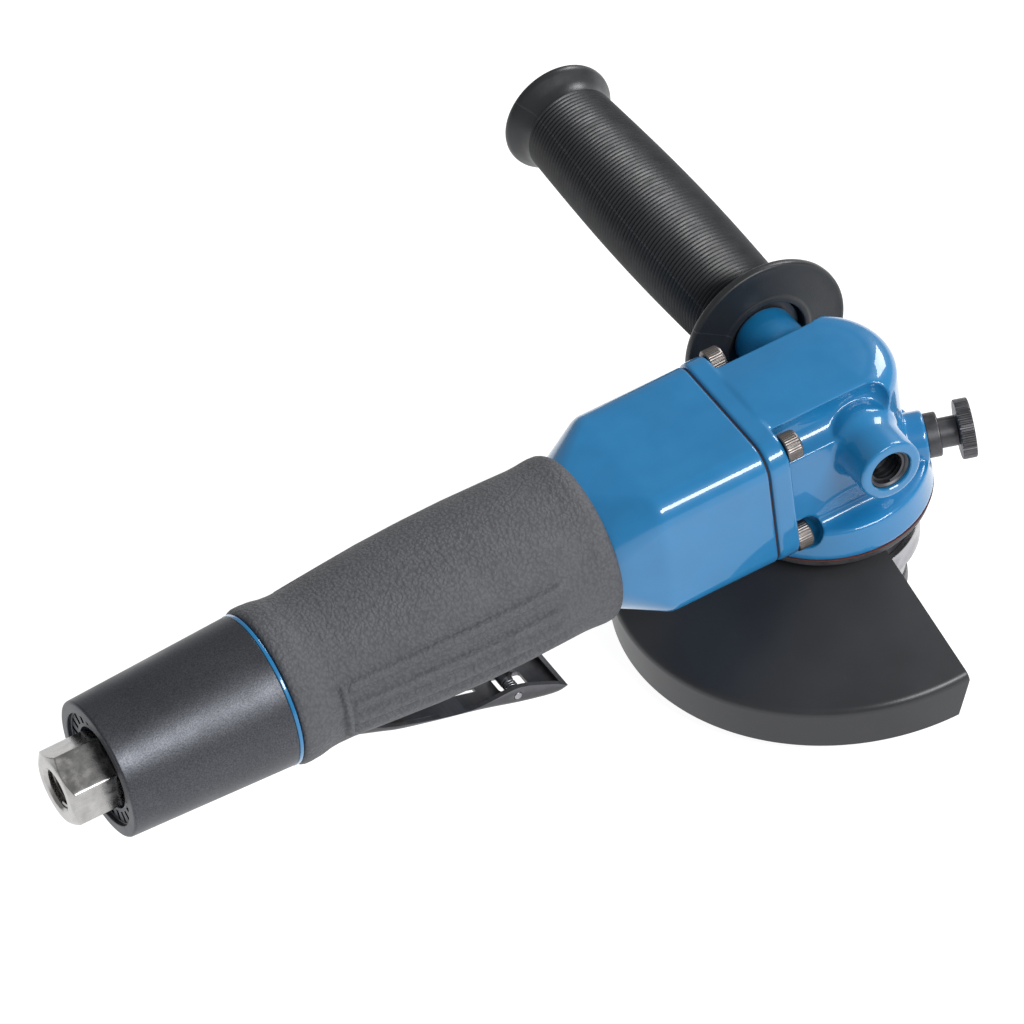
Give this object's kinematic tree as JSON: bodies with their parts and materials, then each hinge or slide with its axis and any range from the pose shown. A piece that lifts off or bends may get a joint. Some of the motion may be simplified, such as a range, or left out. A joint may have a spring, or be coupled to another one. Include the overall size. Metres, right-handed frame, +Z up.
{
  "type": "pneumatic angle grinder",
  "caption": "Air-powered angle grinder with a rubber-sleeved body, throttle lever, bevel gear head, half guard, spindle lock and a ribbed side handle.",
  "frame": {"origin": "middle of the spindle's free end face", "axes": "+Z up the spindle into the gear head, +X along the body towards the nose of the head, +Y towards the side handle"},
  "size_m": [0.2927, 0.2223, 0.0981],
  "materials": {
    "blue_paint": "gloss",
    "dark_anodised": "satin",
    "grip_rubber": "matt",
    "handle_rubber": "matt",
    "black_steel": "satin",
    "steel": "machined",
    "screw_steel": "satin",
    "brass": "machined",
    "cast_iron": "machined",
    "red_gasket": "matt",
    "dark_gasket": "matt",
    "composite": "matt",
    "felt": "matt"
  },
  "bodies": {
    "tool": {"inlet_bushing": "steel", "inlet_screen": "steel", "exhaust_sleeve": "dark_anodised", "exhaust_silencer": "felt", "motor_housing": "blue_paint", "head_gasket": "dark_gasket", "grip_sleeve": "grip_rubber", "cylinder_liner": "cast_iron", "front_end_plate": "cast_iron", "rear_end_plate": "cast_iron", "front_rotor_bearing": "steel", "rear_rotor_bearing": "steel", "gear_head": "blue_paint", "handle_insert_near": "steel", "handle_insert_far": "steel", "head_screw_1": "screw_steel", "head_screw_2": "screw_steel", "head_screw_3": "screw_steel", "head_screw_4": "screw_steel", "lock_bushing": "black_steel", "lock_spring": "steel", "upper_spindle_bearing": "steel", "lower_spindle_bearing": "steel", "cap_gasket": "red_gasket", "bearing_cap": "black_steel", "cap_screw_1": "screw_steel", "cap_screw_2": "screw_steel", "cap_screw_3": "screw_steel", "cap_screw_4": "screw_steel", "side_handle_grip": "handle_rubber", "side_handle_core": "black_steel", "lever_pin": "steel", "valve_bushing": "brass", "valve_spring": "steel"},
    "rotor": {"rotor": "steel", "vane_1": "composite", "vane_2": "composite", "vane_3": "composite", "vane_4": "composite", "vane_5": "composite", "bevel_pinion": "steel", "pinion_spacer": "steel"},
    "spindle": {"spindle": "steel", "bevel_gear": "steel", "inner_flange": "steel", "flange_nut": "black_steel"},
    "lock": {"lock_pin": "steel", "lock_knob": "black_steel"},
    "guard": {"guard": "black_steel", "guard_clamp": "steel", "clamp_screw": "screw_steel", "clamp_nut": "screw_steel"},
    "lever": {"throttle_lever": "black_steel", "catch_pin": "steel", "catch_spring": "steel"},
    "catch": {"safety_catch": "black_steel"},
    "valve": {"valve_stem": "steel"}
  },
  "joints": [
    {"name": "spindle_spin", "type": "hinge", "parent": "tool", "child": "spindle", "pos_m": [0, 0, 0], "axis": [0, 0, 1], "continuous": true},
    {"name": "rotor_spin", "type": "hinge", "parent": "tool", "child": "rotor", "pos_m": [-0.066, 0, 0.07], "axis": [1, 0, 0], "continuous": true},
    {"name": "lever_press", "type": "hinge", "parent": "tool", "child": "lever", "pos_m": [-0.167, 0, 0.0482], "axis": [0, -1, 0], "range_deg": [0, 10], "stiffness_Nm_per_rad": 4, "springref_deg": -4.58},
    {"name": "valve_lift", "type": "slide", "parent": "tool", "child": "valve", "axis": [0, 0, 1], "range_m": [0, 0.00457], "deforming": ["valve_spring"]},
    {"name": "catch_tilt", "type": "hinge", "parent": "lever", "child": "catch", "pos_m": [-0.1096, 0, 0.0301], "axis": [0, 1, 0], "range_deg": [0, 25], "stiffness_Nm_per_rad": 0.05, "springref_deg": -11.46},
    {"name": "lock_push", "type": "slide", "parent": "tool", "child": "lock", "axis": [-0.9397, 0.342, 0], "range_m": [0, 0.0032], "stiffness_N_per_m": 2000, "springref_m": -0.002},
    {"name": "guard_turn", "type": "hinge", "parent": "tool", "child": "guard", "pos_m": [0, 0, 0.025], "axis": [0, 0, 1], "range_deg": [-75, 75]}
  ],
  "couplings": [
    {"joint": "rotor_spin", "follows": "spindle_spin", "ratio": -2.4167},
    {"joint": "lever_press", "follows": "valve_lift", "rad_per_m": 38.168}
  ]
}
